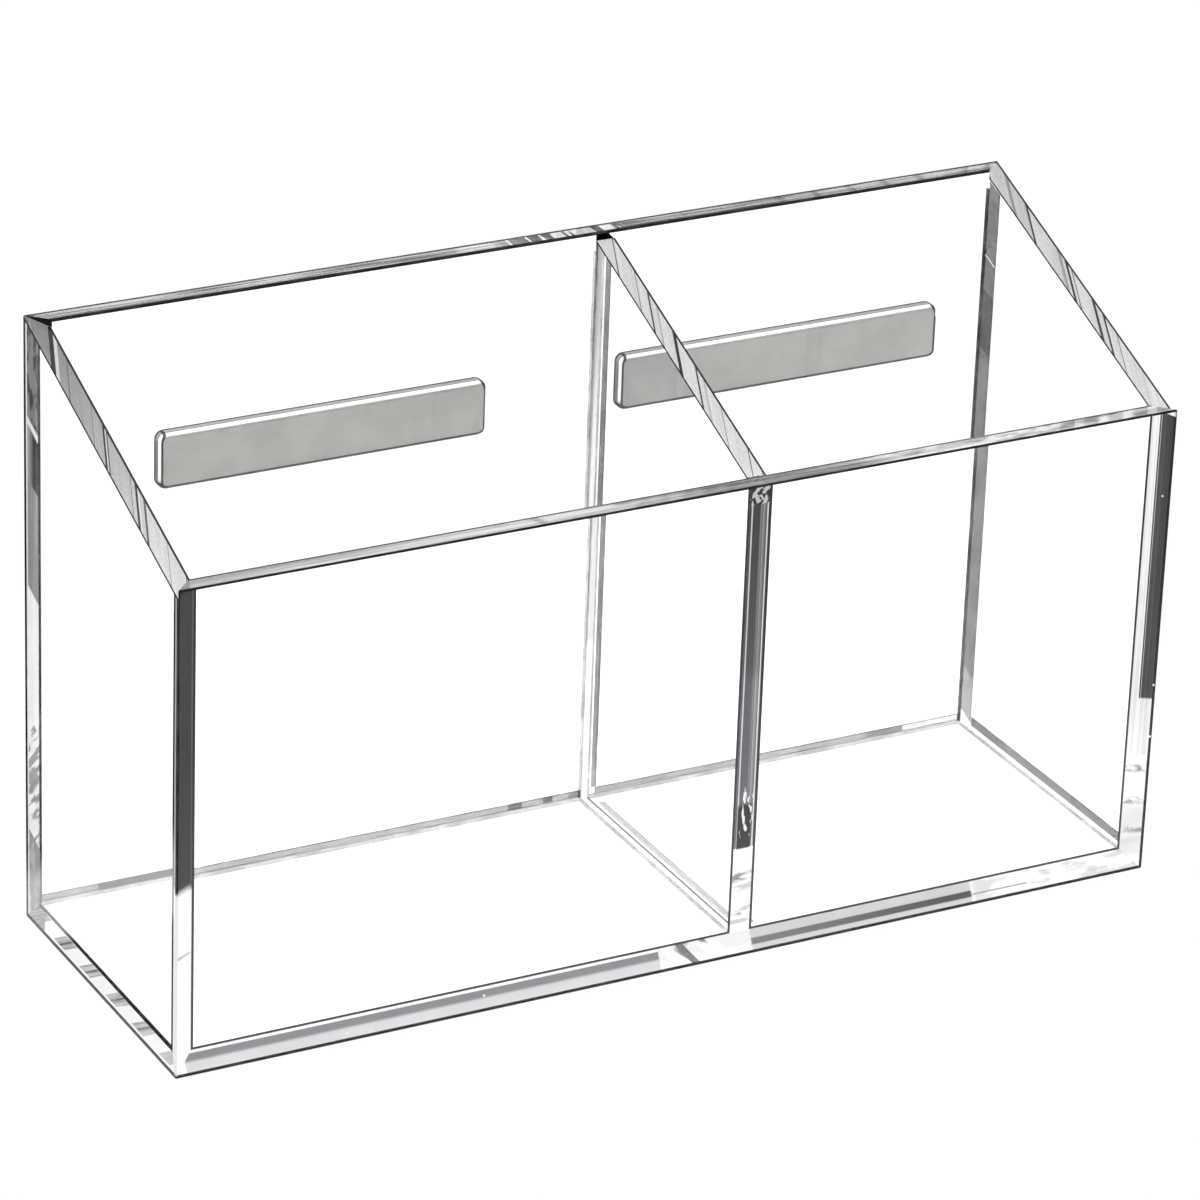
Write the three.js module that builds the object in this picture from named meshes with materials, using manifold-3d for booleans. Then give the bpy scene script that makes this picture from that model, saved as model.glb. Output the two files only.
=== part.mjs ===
// Magnetic pen holder: an open clear acrylic case with a low front, a tall back, sides that slope
// between them and one divider that makes two pen compartments. Two plated bar magnets are stuck
// to the outside of the back, so that the holder grips a whiteboard, a locker or a refrigerator.
// Millimetres, +X along the width, +Y from the front to the back, +Z up. The origin is on the
// ground, under the middle of the whole holder.

import * as THREE from 'three';
import { mergeVertices } from 'three/addons/utils/BufferGeometryUtils.js';
import Module from 'manifold-3d';

// Acrylic case, measured over its outer faces
const width = 200;
const depth = 67.5;
const frontHeight = 94.5;
const backHeight = 119.5;
const sheet = 4;
const leftCompartmentWidth = 108;

// Cemented joints and polished edges
const seam = 0.3;
const arris = 0.4;

// Bar magnets on the outside of the back panel
const magnetLength = 66;
const magnetHeight = 11;
const magnetThickness = 3;
const magnetCornerRadius = 2.2;
const magnetEdgeRadius = 0.75;
const magnetDrop = 33;
const leftMagnetShift = 1.4;
const rightMagnetShift = -0.4;

// Double-sided adhesive pads between the magnets and the back panel
const padThickness = 0.8;
const padMargin = 0.9;
const padCornerRadius = 1.4;

// Facets of the rounded forms
const cornerFacets = 6;
const edgeFacets = 4;

// Places that follow from the sizes
const slope = (backHeight - frontHeight) / (depth - sheet);
const dividerLeft = sheet + leftCompartmentWidth;
const dividerRight = dividerLeft + sheet;
const magnetFront = depth + seam + padThickness + seam;
const overallDepth = magnetFront + magnetThickness;
const leftMagnetX = (sheet + dividerLeft) / 2 + leftMagnetShift;
const rightMagnetX = (dividerRight + width - sheet) / 2 + rightMagnetShift;
const magnetZ = backHeight - magnetDrop;
const cutterSize = 3 * (width + depth + frontHeight + backHeight);

const clearAcrylic = new THREE.MeshStandardMaterial({
  color: 0xf3f7f7,
  roughness: 0.03,
  metalness: 0,
  transparent: true,
  opacity: 0.25,
});
const nickelPlate = new THREE.MeshStandardMaterial({
  color: 0xb3b3b0,
  roughness: 0.35,
  metalness: 1,
});
const clearAdhesive = new THREE.MeshStandardMaterial({
  color: 0xe6e7e4,
  roughness: 0.4,
  metalness: 0,
  transparent: true,
  opacity: 0.5,
});

const wasm = await Module();
wasm.setup();

// A closed three.js geometry as a solid that can be cut
function toSolid(geometry) {
  const bare = geometry.clone();
  bare.deleteAttribute('normal');
  bare.deleteAttribute('uv');
  const merged = mergeVertices(bare, 1e-4);
  return new wasm.Manifold(new wasm.Mesh({
    numProp: 3,
    vertProperties: new Float32Array(merged.attributes.position.array),
    triVerts: new Uint32Array(merged.index.array),
  }));
}

function toGeometry(solid) {
  const mesh = solid.getMesh();
  const geometry = new THREE.BufferGeometry();
  geometry.setAttribute('position', new THREE.BufferAttribute(mesh.vertProperties, 3));
  geometry.setIndex(new THREE.BufferAttribute(mesh.triVerts, 1));
  geometry.computeVertexNormals();
  return geometry;
}

// A flat face of the case: its outward normal and its distance from the case's front left foot
function face(x, y, z, point) {
  const normal = new THREE.Vector3(x, y, z).normalize();
  return { normal, distance: normal.dot(point) };
}

const frontLeftFoot = new THREE.Vector3(0, 0, 0);
const backRightFoot = new THREE.Vector3(width, depth, 0);
const frontInnerTop = new THREE.Vector3(0, sheet, frontHeight);
const backTop = new THREE.Vector3(0, depth, backHeight);

const outer = {
  left: face(-1, 0, 0, frontLeftFoot),
  right: face(1, 0, 0, backRightFoot),
  front: face(0, -1, 0, frontLeftFoot),
  back: face(0, 1, 0, backRightFoot),
  bottom: face(0, 0, -1, frontLeftFoot),
};
const frontTop = face(0, 0, 1, frontInnerTop);
const backTopFace = face(0, 0, 1, backTop);
const slopedTop = face(0, -slope, 1, frontInnerTop);

// The other side of a panel, one sheet thickness in from its outer face
function innerSide(outerFace) {
  return {
    normal: outerFace.normal.clone().negate(),
    distance: sheet - outerFace.distance,
  };
}

// A point on the line where two faces at right angles meet
function meetingPoint(a, b) {
  return new THREE.Vector3()
    .addScaledVector(a.normal, a.distance)
    .addScaledVector(b.normal, b.distance);
}

// Cuts away all that lies beyond a plane, on the side its normal points to
function trim(solid, point, direction) {
  const cutter = new THREE.BoxGeometry(cutterSize, cutterSize, cutterSize);
  cutter.translate(0, 0, cutterSize / 2);
  const up = new THREE.Vector3(0, 0, 1);
  const turn = new THREE.Quaternion().setFromUnitVectors(up, direction.clone().normalize());
  cutter.applyQuaternion(turn);
  cutter.translate(point.x, point.y, point.z);
  return solid.subtract(toSolid(cutter));
}

// Saws a panel's edge at 45 degrees where it meets its neighbour, half a seam short of the corner
function mitre(solid, own, neighbour) {
  const direction = neighbour.normal.clone().sub(own.normal).normalize();
  const point = meetingPoint(own, neighbour).addScaledVector(direction, -seam / 2);
  return trim(solid, point, direction);
}

// Takes the sharp arris off the edge between two faces
function easeEdge(solid, a, b) {
  const direction = a.normal.clone().add(b.normal);
  const point = meetingPoint(a, b).addScaledVector(a.normal, -arris);
  return trim(solid, point, direction);
}

// A panel cut from sheet: an outline on the sheet, made thick, then turned and moved to its place
function cutSheet(outline, across, up, through, corner) {
  const shape = new THREE.Shape(outline.map(([x, y]) => new THREE.Vector2(x, y)));
  const geometry = new THREE.ExtrudeGeometry(shape, { depth: sheet, bevelEnabled: false });
  geometry.applyMatrix4(new THREE.Matrix4().makeBasis(across, up, through));
  geometry.translate(corner.x, corner.y, corner.z);
  return toSolid(geometry);
}

const alongX = new THREE.Vector3(1, 0, 0);
const alongY = new THREE.Vector3(0, 1, 0);
const alongZ = new THREE.Vector3(0, 0, 1);
const towardsFront = new THREE.Vector3(0, -1, 0);

function rectangle(across, up) {
  return [[0, 0], [across, 0], [across, up], [0, up]];
}

// An outline in the side view with the sloping top, from one distance behind the front to another
function slopedOutline(start, end, foot) {
  const topAt = (y) => frontHeight + slope * (y - sheet);
  return [[start, foot], [end, foot], [end, topAt(end)], [start, topAt(start)]];
}

// Mitres a panel against its neighbours, then eases its outer corners and the rims named
function finishPanel(solid, own, neighbours, rim) {
  let panel = solid;
  for (const neighbour of neighbours) {
    panel = mitre(panel, own, neighbour);
    panel = easeEdge(panel, own, neighbour);
  }
  if (rim) {
    panel = easeEdge(panel, own, rim);
    panel = easeEdge(panel, innerSide(own), rim);
  }
  return panel;
}

const { left, right, front, back, bottom } = outer;

const frontPanel = finishPanel(
  cutSheet(rectangle(width, frontHeight), alongX, alongZ, towardsFront, new THREE.Vector3(0, sheet, 0)),
  front,
  [left, right, bottom],
  frontTop,
);
const backPanel = finishPanel(
  cutSheet(rectangle(width, backHeight), alongX, alongZ, towardsFront, new THREE.Vector3(0, depth, 0)),
  back,
  [left, right, bottom],
  backTopFace,
);
const leftSidePanel = finishPanel(
  cutSheet(slopedOutline(0, depth, 0), alongY, alongZ, alongX, frontLeftFoot),
  left,
  [front, back, bottom],
  slopedTop,
);
const rightSidePanel = finishPanel(
  cutSheet(slopedOutline(0, depth, 0), alongY, alongZ, alongX, new THREE.Vector3(width - sheet, 0, 0)),
  right,
  [front, back, bottom],
  slopedTop,
);
const bottomPanel = finishPanel(
  cutSheet(rectangle(width, depth), alongX, alongY, alongZ, frontLeftFoot),
  bottom,
  [left, right, front, back],
  null,
);

// The divider stands square on the bottom panel, between the front and the back panel
const dividerOutline = slopedOutline(sheet + seam, depth - sheet - seam, sheet + seam);
const dividerBlank = cutSheet(dividerOutline, alongY, alongZ, alongX, new THREE.Vector3(dividerLeft, 0, 0));
const dividerLeftFace = face(-1, 0, 0, new THREE.Vector3(dividerLeft, 0, 0));
const dividerPanel = easeEdge(
  easeEdge(dividerBlank, dividerLeftFace, slopedTop),
  innerSide(dividerLeftFace),
  slopedTop,
);

function roundedRectangle(length, height, radius) {
  const x = length / 2 - radius;
  const y = height / 2 - radius;
  const shape = new THREE.Shape();
  shape.absarc(x, y, radius, 0, Math.PI / 2);
  shape.absarc(-x, y, radius, Math.PI / 2, Math.PI);
  shape.absarc(-x, -y, radius, Math.PI, 1.5 * Math.PI);
  shape.absarc(x, -y, radius, 1.5 * Math.PI, 2 * Math.PI);
  shape.closePath();
  return shape;
}

// A plated bar, rounded along every edge, with its face on z = 0 and its back behind it
function magnetBar() {
  const outline = roundedRectangle(magnetLength, magnetHeight, magnetCornerRadius);
  const bar = new THREE.ExtrudeGeometry(outline, {
    depth: magnetThickness - 2 * magnetEdgeRadius,
    curveSegments: cornerFacets,
    bevelEnabled: true,
    bevelSize: magnetEdgeRadius,
    bevelOffset: -magnetEdgeRadius,
    bevelThickness: magnetEdgeRadius,
    bevelSegments: edgeFacets,
  });
  bar.translate(0, 0, magnetEdgeRadius - magnetThickness);
  return bar;
}

// A thin pad a little smaller than the magnet that it holds
function adhesivePad() {
  const outline = roundedRectangle(
    magnetLength - 2 * padMargin,
    magnetHeight - 2 * padMargin,
    padCornerRadius,
  );
  const pad = new THREE.ExtrudeGeometry(outline, {
    depth: padThickness,
    curveSegments: cornerFacets,
    bevelEnabled: false,
  });
  pad.translate(0, 0, -padThickness);
  return pad;
}

function piece(name, geometry, material) {
  const mesh = new THREE.Mesh(geometry, material);
  mesh.name = name;
  return mesh;
}

// A magnet and its pad, upright behind the back panel at one place along the width
function magnetSet(side, x) {
  const set = new THREE.Group();
  set.position.set(x, depth, magnetZ);
  set.rotation.x = Math.PI / 2;
  const pad = piece(`magnet_adhesive_${side}`, adhesivePad(), clearAdhesive);
  pad.position.z = -seam;
  const magnet = piece(`magnet_${side}`, magnetBar(), nickelPlate);
  magnet.position.z = depth - magnetFront;
  set.add(pad, magnet);
  return set;
}

const acrylicCase = new THREE.Group();
acrylicCase.add(
  piece('front_panel', toGeometry(frontPanel), clearAcrylic),
  piece('back_panel', toGeometry(backPanel), clearAcrylic),
  piece('left_side_panel', toGeometry(leftSidePanel), clearAcrylic),
  piece('right_side_panel', toGeometry(rightSidePanel), clearAcrylic),
  piece('bottom_panel', toGeometry(bottomPanel), clearAcrylic),
  piece('divider_panel', toGeometry(dividerPanel), clearAcrylic),
);

const penHolder = new THREE.Group();
penHolder.add(acrylicCase, magnetSet('left', leftMagnetX), magnetSet('right', rightMagnetX));
penHolder.position.set(-width / 2, -overallDepth / 2, 0);

export default penHolder;
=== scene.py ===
# %% [markdown]
# A clear pen holder that hangs on steel.
# The real object is a small open case of six clear acrylic sheets, cemented at the corners,
# with two plated bar magnets stuck on the outside of its back.
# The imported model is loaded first, because every size here is read from its solids.

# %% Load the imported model
import functools
import math
import random

import bmesh
import bpy
from mathutils import Matrix, Vector


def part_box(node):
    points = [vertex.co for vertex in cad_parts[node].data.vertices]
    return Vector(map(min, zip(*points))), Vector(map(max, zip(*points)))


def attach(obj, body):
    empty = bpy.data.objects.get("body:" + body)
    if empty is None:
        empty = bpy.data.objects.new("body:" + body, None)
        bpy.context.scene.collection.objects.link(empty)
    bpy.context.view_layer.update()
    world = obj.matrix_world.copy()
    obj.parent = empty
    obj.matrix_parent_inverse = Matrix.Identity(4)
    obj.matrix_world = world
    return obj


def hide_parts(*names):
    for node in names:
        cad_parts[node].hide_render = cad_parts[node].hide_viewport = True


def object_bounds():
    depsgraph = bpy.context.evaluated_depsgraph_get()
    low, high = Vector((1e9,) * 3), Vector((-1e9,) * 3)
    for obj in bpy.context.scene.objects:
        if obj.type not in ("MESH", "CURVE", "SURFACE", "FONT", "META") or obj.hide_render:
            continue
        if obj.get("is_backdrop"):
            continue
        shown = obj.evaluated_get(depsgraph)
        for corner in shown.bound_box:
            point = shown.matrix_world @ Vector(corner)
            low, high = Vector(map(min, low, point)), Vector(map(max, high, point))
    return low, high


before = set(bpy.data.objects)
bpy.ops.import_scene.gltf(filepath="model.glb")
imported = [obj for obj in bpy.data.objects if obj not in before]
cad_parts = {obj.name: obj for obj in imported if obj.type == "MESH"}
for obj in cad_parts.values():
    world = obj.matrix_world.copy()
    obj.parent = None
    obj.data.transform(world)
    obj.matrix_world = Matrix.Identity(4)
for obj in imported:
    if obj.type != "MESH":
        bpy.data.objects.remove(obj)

MM = 0.001
scene = bpy.context.scene
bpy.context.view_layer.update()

# %% [markdown]
# The sheets are 4 mm thick. Their faces give every plane that the pieces are cut to:
# out is the side that a hand touches, in is the side that faces the pens.

# %% Read the planes of the case


def extent(name, axis):
    """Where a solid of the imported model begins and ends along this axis."""
    return [getattr(corner, axis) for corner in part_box(name)]


front_out, front_in = extent("front_panel", "y")
back_in, back_out = extent("back_panel", "y")
left_out, left_in = extent("left_side_panel", "x")
right_in, right_out = extent("right_side_panel", "x")
divider_left, divider_right = extent("divider_panel", "x")
floor_under, floor_top = extent("bottom_panel", "z")
front_height, back_height = extent("front_panel", "z")[1], extent("back_panel", "z")[1]
sheet = left_in - left_out
slope = (back_height - front_height) / (back_out - front_in)
print("sheet mm", round(sheet / MM, 2), "slope of the sides", round(slope, 3))


def rim_height(y):
    """Height of the slanted rim of the sides and the divider at depth y."""
    return front_height + slope * (y - front_in)


# %% [markdown]
# The camera stands where the photographer stood: low on the left, far away, with a long lens,
# so the edges stay almost parallel. Its three directions were found from the corners
# of the case, and the small roll is part of them.

# %% Set up the camera
view_along = Vector((0.43313, 0.79797, -0.41909))
view_right = Vector((0.88575, -0.46291, 0.03401))
view_up = view_right.cross(view_along)
camera_place = Vector((-0.48979, -0.90360, 0.53367))
lens = bpy.data.cameras.new("camera")
lens.sensor_width = 36.0
lens.lens = 185.57
lens.clip_start = 0.05
lens.clip_end = 50.0
camera = bpy.data.objects.new("camera", lens)
scene.collection.objects.link(camera)
turn = Matrix((view_right, view_up, -view_along)).transposed().to_4x4()
camera.matrix_world = Matrix.Translation(camera_place) @ turn
scene.camera = camera
print("camera distance mm", round(camera_place.length / MM))

# %% [markdown]
# Clear acrylic is drawn by its edges. Seen straight through, a sheet shows the white paper
# behind it. Seen after a reflection inside the sheet, it shows the rest of the studio: the lit
# table close by, the dark room behind the table, and the soft light overhead.
# One switch does this for the table and the room: it is on for a ray that was reflected.

# %% Helpers for nodes


def node(tree, kind, wires=None, **settings):
    """Adds a node, sets its properties, and wires or fills its inputs by name or number."""
    made = tree.nodes.new("ShaderNode" + kind)
    for name, value in settings.items():
        setattr(made, name, value)
    for key, value in (wires or {}).items():
        if isinstance(value, bpy.types.NodeSocket):
            tree.links.new(value, made.inputs[key])
        else:
            made.inputs[key].default_value = value
    return made


def feed(made, **inputs):
    """Wires or fills the inputs of a node. An underscore stands for a space in an input's name."""
    for name, value in inputs.items():
        socket = made.inputs[name.replace("_", " ")]
        if isinstance(value, bpy.types.NodeSocket):
            made.id_data.links.new(value, socket)
        else:
            socket.default_value = value


def tree_of(*values):
    """The node tree that the first socket among these values belongs to."""
    return next(value.id_data for value in values if isinstance(value, bpy.types.NodeSocket))


def calculate(operation, first, second=0.0, clamp=False):
    """One Math node. The five functions after it make node formulas as short as written ones."""
    tree = tree_of(first, second)
    return node(tree, "Math", {0: first, 1: second}, operation=operation, use_clamp=clamp).outputs[0]


def plus(first, second):
    return calculate("ADD", first, second)


def minus(first, second, clamp=False):
    return calculate("SUBTRACT", first, second, clamp)


def times(*values):
    return functools.reduce(lambda made, value: calculate("MULTIPLY", made, value), values)


def either(*masks):
    return functools.reduce(lambda made, mask: calculate("MAXIMUM", made, mask), masks)


def inverse(mask):
    return minus(1.0, mask)


def between(value, low, high):
    """0 below low, 1 above high, and a soft step between them."""
    wires = {0: value, 1: low, 2: high}
    return node(tree_of(value), "MapRange", wires, interpolation_type="SMOOTHSTEP").outputs[0]


def rescaled(value, low, high, first=0.0, last=1.0):
    """Runs evenly from first to last while value runs from low to high."""
    return node(tree_of(value), "MapRange", {0: value, 1: low, 2: high, 3: first, 4: last}).outputs[0]


def mixed(factor, first, second):
    """A number that goes from first to second as the factor goes from 0 to 1."""
    return node(tree_of(factor), "Mix", {0: factor, 2: first, 3: second}).outputs[0]


def colour(tone):
    """A single number is a grey, and three numbers are a colour."""
    if isinstance(tone, bpy.types.NodeSocket):
        return tone
    return (*tone, 1) if isinstance(tone, tuple) else (tone, tone, tone, 1)


def blend(factor, first, second):
    """A colour that goes from first to second as the factor goes from 0 to 1."""
    wires = {0: factor, 6: colour(first), 7: colour(second)}
    return node(tree_of(factor), "Mix", wires, data_type="RGBA").outputs[2]


def tones(factor, stops):
    """A ramp of greys: stops are pairs of place and brightness, and brightness may pass 1."""
    ramp = node(tree_of(factor), "ValToRGB", {0: factor})
    marks = ramp.color_ramp.elements
    for place, grey in stops[1:-1]:
        marks.new(place).color = (grey, grey, grey, 1)
    for mark, (place, grey) in ((marks[0], stops[0]), (marks[-1], stops[-1])):
        mark.position = place
        mark.color = (grey, grey, grey, 1)
    return ramp.outputs[0]


def parts_of(vector):
    return node(tree_of(vector), "SeparateXYZ", {0: vector}).outputs


def point_of(x, y, z):
    return node(tree_of(x), "CombineXYZ", {0: x, 1: y, 2: z}).outputs[0]


def noise_on(place, scale, detail, roughness=0.5):
    """Random clouds that stay where they are on the object."""
    wires = {"Vector": place, "Scale": scale, "Detail": detail, "Roughness": roughness}
    return node(tree_of(place), "TexNoise", wires).outputs[0]


def material(name):
    made = bpy.data.materials.new(name)
    made.use_nodes = True
    tree = made.node_tree
    return made, tree, tree.nodes["Principled BSDF"]


def place_on(tree):
    return node(tree, "TexCoord").outputs["Object"]


def was_reflected(tree):
    """1 for a ray that was reflected on its way, 0 for one that came straight through."""
    path = node(tree, "LightPath")
    return calculate("GREATER_THAN", path.outputs["Glossy Depth"], 0.5)


# %% The room
PAPER_WHITE = 1.05
LOSS_PER_FACE = 1.12


def paper_glow(tree):
    """The white of the paper. Each face that a ray passes takes some light, and this gives it back."""
    path = node(tree, "LightPath")
    passed = calculate("MINIMUM", path.outputs["Transmission Depth"], 6.0)
    return times(PAPER_WHITE, calculate("POWER", LOSS_PER_FACE, passed))


world = bpy.data.worlds.new("studio")
scene.world = world
world.use_nodes = True
room = world.node_tree
toward_right, toward_back, steepness = parts_of(node(room, "TexCoord").outputs["Generated"])
soft_box = tones(steepness, [(0.0, 0.30), (0.385, 0.33), (0.415, 1.1), (0.55, 1.7), (0.80, 2.3)])
far_right = tones(steepness, [
    (0.0, 0.45), (0.36, 0.50), (0.40, 0.95), (0.50, 0.95), (0.54, 0.12), (0.66, 0.14), (0.74, 0.9),
    (0.86, 2.2),
])
far_left = tones(steepness, [(0.0, 0.50), (0.42, 0.70), (0.52, 0.70), (0.74, 0.9), (0.86, 2.2)])
behind = blend(between(toward_right, -0.05, 0.05), far_left, far_right)
studio = blend(between(toward_back, -0.05, 0.05), soft_box, behind)
seen = blend(was_reflected(room), 1, studio)
glow = mixed(was_reflected(room), paper_glow(room), 1.0)
feed(room.nodes["Background"], Color=seen, Strength=glow)
print("room nodes", len(room.nodes))

# %% [markdown]
# The case stands on white paper. A reflected ray finds other tones there: a bright table in
# front, a dark band behind the case, a grey card behind it on the right, and a dark card on its
# left. That one gives the edges on the left their black lines, as in a photographer's studio.

# %% The table
TABLE_REACH = 3.0
TABLE_DROP = 0.3 * MM
table_mesh = bpy.data.meshes.new("table")
corners = [(-1, -1), (1, -1), (1, 1), (-1, 1)]
ground = [(TABLE_REACH * x, TABLE_REACH * y, -TABLE_DROP) for x, y in corners]
table_mesh.from_pydata(ground, [], [(0, 1, 2, 3)])
table = bpy.data.objects.new("table", table_mesh)
scene.collection.objects.link(table)
table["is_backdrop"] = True

paper, tree, matt = material("white_paper")
feed(matt, Base_Color=(0.97, 0.97, 0.97, 1), Roughness=1.0, Specular_IOR_Level=0.0)
x, y, _ = parts_of(node(tree, "NewGeometry").outputs["Position"])
table_tone = tones(rescaled(y, -0.8, 0.8), [
    (0.1, 0.40), (0.406, 0.60), (0.45, 1.1), (0.528, 1.15), (0.533, 0.045), (0.65, 0.06), (0.70, 0.5),
    (1.0, 0.4),
])
grey_card = times(between(x, 115 * MM, 145 * MM), between(y, 45 * MM, 55 * MM))
black_card = times(between(x, -100.5 * MM, -101.5 * MM), between(y, 26 * MM, 18 * MM))
table_tone = blend(black_card, blend(grey_card, table_tone, 0.55), 0.05)
lit = node(tree, "Emission", {0: table_tone})
switched = node(tree, "MixShader", {0: was_reflected(tree), 1: matt.outputs[0], 2: lit.outputs[0]})
tree.links.new(switched.outputs[0], tree.nodes["Material Output"].inputs[0])
table_mesh.materials.append(paper)

scene.view_settings.view_transform = "Standard"
scene.cycles.max_bounces = 32
scene.cycles.transmission_bounces = 32
scene.cycles.glossy_bounces = 32
scene.cycles.transparent_max_bounces = 48
print("table", round(2 * TABLE_REACH, 1), "m wide")

# %% [markdown]
# A sheet is cut as a sawyer cuts it: a blank, then one cut for each joint and each rim.
# The joints are mitres, so no cut edge shows at the corners. Every outer edge is eased with
# a scraper into narrow flats, painted dark as a painted shade: the thin dark line that draws the case.
# Each cut is one plane through the mesh, so the solid stays closed and its faces stay flat.

# %% Cutting tools
# Slot 0 is the open face of a sheet.
RIM, JOINT, ARRIS, SMEAR = range(1, 5)
X, Y, Z = Vector((1, 0, 0)), Vector((0, 1, 0)), Vector((0, 0, 1))
ARRIS_WIDTH = 0.42 * MM
FOOT_ARRIS_WIDTH = 0.75 * MM
RIM_ARRIS_WIDTHS = {"front": (0.40 * MM, 0.34 * MM), "back": (0.42 * MM, 0.55 * MM)}
SAWN_ARRIS_WIDTHS = (0.20 * MM, 0.20 * MM)
ARRIS_FACETS = 3
JOINT_GAP = 0.008 * MM


def where_meet(first, second):
    """The point of the edge between two planes that lies nearest the origin."""
    (n, p), (m, q) = first, second
    a, b, c = n.dot(p), m.dot(q), n.dot(m)
    return (n * (a - b * c) + m * (b - a * c)) / (1 - c * c)


def cut(mesh, normal, point, slot):
    """Takes away what lies outside the plane and closes the cut with a face in this slot."""
    parts = mesh.verts[:] + mesh.edges[:] + mesh.faces[:]
    made = bmesh.ops.bisect_plane(
        mesh, geom=parts, dist=1e-8, plane_co=point, plane_no=normal, clear_outer=True,
    )
    rim = [e for e in made["geom_cut"] if isinstance(e, bmesh.types.BMEdge) and len(e.link_faces) < 2]
    if len(rim) > 2:
        for f in bmesh.ops.contextual_create(mesh, geom=rim)["faces"]:
            f.material_index = slot


def score(mesh, normal, point):
    """Marks a line round the solid without taking anything away."""
    parts = mesh.verts[:] + mesh.edges[:] + mesh.faces[:]
    bmesh.ops.bisect_plane(mesh, geom=parts, dist=1e-8, plane_co=point, plane_no=normal)


def ease(mesh, first, second, width=ARRIS_WIDTH):
    """Rounds the edge between two planes with a few narrow flats."""
    centre = where_meet(first, second) - (first[0] + second[0]) * width
    for step in range(ARRIS_FACETS):
        angle = (step + 0.5) / ARRIS_FACETS * math.pi / 2
        normal = (first[0] * math.cos(angle) + second[0] * math.sin(angle)).normalized()
        cut(mesh, normal, centre + normal * width, ARRIS)


def blank(low, high):
    mesh = bmesh.new()
    bmesh.ops.create_cube(mesh, size=1)
    for v in mesh.verts:
        v.co = Vector((low[i] + (v.co[i] + 0.5) * (high[i] - low[i]) for i in range(3)))
    return mesh


# %% Names of the planes
top = back_height + 10 * MM
planes = {
    "front": (-Y, Y * front_out), "back": (Y, Y * back_out), "left": (-X, X * left_out),
    "right": (X, X * right_out), "bottom": (-Z, Z * floor_under), "front rim": (Z, Z * front_height),
    "back rim": (Z, Z * back_height),
    "slanted rim": (Vector((0, -slope, 1)).normalized(), Vector((0, front_in, front_height))),
}
print(len(planes), "planes")

# %% [markdown]
# Where two sheets meet, the cement makes them one block of plastic and light goes straight on.
# So the faces inside a joint have their own material slot, and so has the strip of a sheet
# that the divider stands on. A corner of the front and the back stands a little above the
# slanted sides. That small triangle is no joint: it is a dark eased edge on the left and
# polished rim on the right.

# %% Cut one sheet
SEEN_STRIP = 0.05 * MM


def inner_face(own):
    return -own[0], own[1] - own[0] * sheet


def finish_mesh(name, mesh):
    """Turns the cut mesh into a scene object and says whether it is closed."""
    bmesh.ops.recalc_face_normals(mesh, faces=mesh.faces)
    open_edges = sum(not e.is_manifold for e in mesh.edges)
    volume = mesh.calc_volume() / MM ** 3
    data = bpy.data.meshes.new(name)
    mesh.to_mesh(data)
    print(f"{name}: {len(data.polygons)} faces, {open_edges} open edges, {volume:.0f} mm3")
    mesh.free()
    made = bpy.data.objects.new(name, data)
    scene.collection.objects.link(made)
    return made


def cut_sheet(side, low, high, neighbours, rim=None, smeared=()):
    """Cuts the sheet of one side. A smeared joint gets a slot of its own, after the others."""
    mesh = blank(low, high)
    own = planes[side]
    if rim:
        cut(mesh, *planes[rim], RIM)
        for f in mesh.faces:
            if f.normal.dot(planes[rim][0]) > 0.999:
                f.material_index = RIM
    for other in neighbours:
        edge = where_meet(own, planes[other])
        normal = (planes[other][0] - own[0]).normalized()
        slot = SMEAR + smeared.index(other) if other in smeared else JOINT
        cut(mesh, normal, edge - normal * JOINT_GAP, slot)
    for other in neighbours:
        wide = "bottom" in (side, other) or {side, other} == {"left", "back"}
        ease(mesh, own, planes[other], FOOT_ARRIS_WIDTH if wide else ARRIS_WIDTH)
    if rim:
        for near, width in zip((own, inner_face(own)), RIM_ARRIS_WIDTHS.get(side, SAWN_ARRIS_WIDTHS)):
            ease(mesh, near, planes[rim], width)
    if rim in ("front rim", "back rim"):
        score(mesh, *planes["slanted rim"])
        for f in mesh.faces:
            c = f.calc_center_median()
            if f.material_index in (JOINT, SMEAR) and c.z > rim_height(c.y):
                f.material_index = ARRIS if c.x < 0 else RIM
    mark_divider_seat(mesh, own)
    return finish_mesh(side + "_sheet", mesh)


def mark_divider_seat(mesh, own):
    """The strip of the front, back and bottom sheet that the divider is cemented to."""
    if abs(own[0].x) > 0.5:
        return
    score(mesh, X, X * divider_left)
    score(mesh, X, X * divider_right)
    if own[0].y > 0.5:
        score(mesh, Z, Z * rim_height(back_in))
    mesh.normal_update()
    for f in mesh.faces:
        c = f.calc_center_median()
        over_divider = divider_left < c.x < divider_right
        under_rim = c.z < rim_height(back_in) - SEEN_STRIP
        if over_divider and under_rim and f.normal.dot(-own[0]) > 0.999 and front_out < c.y < back_out:
            f.material_index = JOINT


# %% Cut the five sheets of the case
corner = (left_out, front_out, floor_under)
around = ("left", "right", "bottom")
beside = ("front", "back", "bottom")
front_sheet = cut_sheet(
    "front", corner, (right_out, front_in, front_height), around, "front rim", ("left",),
)
back_sheet = cut_sheet(
    "back", (left_out, back_in, floor_under), (right_out, back_out, back_height), around, "back rim",
)
left_sheet = cut_sheet(
    "left", corner, (left_in, back_out, top), beside, "slanted rim", ("back", "front", "bottom"),
)
right_sheet = cut_sheet(
    "right", (right_in, front_out, floor_under), (right_out, back_out, top), beside, "slanted rim",
    ("front",),
)
bottom_sheet = cut_sheet(
    "bottom", corner, (right_out, back_out, floor_top), ("left", "right", "front", "back"),
    smeared=("front",),
)

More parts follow.
